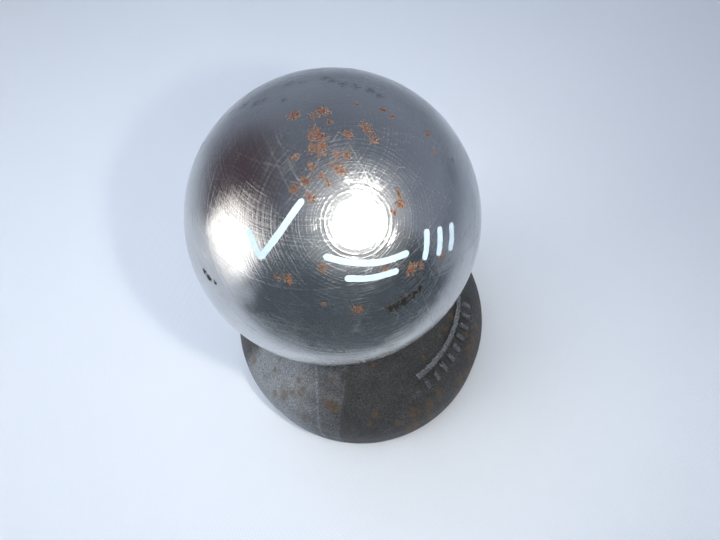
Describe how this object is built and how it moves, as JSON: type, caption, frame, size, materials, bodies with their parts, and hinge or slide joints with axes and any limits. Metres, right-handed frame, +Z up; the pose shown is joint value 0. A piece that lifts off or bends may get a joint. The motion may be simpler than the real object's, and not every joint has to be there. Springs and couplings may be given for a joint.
{
  "type": "weld-on trailer hitch ball",
  "caption": "Large steel coupling ball on a conical forged foot that is welded flat onto a drawbar or hitch plate.",
  "frame": {"origin": "centre of the foot's flat underside, on the surface that it stands on or is welded to", "axes": "+Z up along the axis of foot, neck and ball; -Y towards the side with the trimmed flash band; the raised arc rib lies between -Y and +X"},
  "size_m": [0.1, 0.1, 0.13],
  "materials": {
    "ground_steel": "turned and ground bright steel with fine scratches, light rust specks",
    "forged_steel": "as-forged carbon steel, dark mill scale with some rust at the rim",
    "black_oxide_steel": "black oxide",
    "zinc_flake_steel": "matt zinc flake coating",
    "dowel_steel": "hardened and ground",
    "seal_rubber": "matt black nitrile rubber",
    "plug_steel": "pressed, zinc plated",
    "marker_paint": "white paint-marker strokes on the ball"
  },
  "bodies": {
    "root": {"coupling_ball": "ground_steel", "weld_foot": "forged_steel", "clamp_screw": "black_oxide_steel", "lock_washer_lower": "zinc_flake_steel", "lock_washer_upper": "zinc_flake_steel", "dowel_pin_left": "dowel_steel", "dowel_pin_right": "dowel_steel", "neck_seal_ring": "seal_rubber", "base_plug": "plug_steel"}
  },
  "joints": []
}
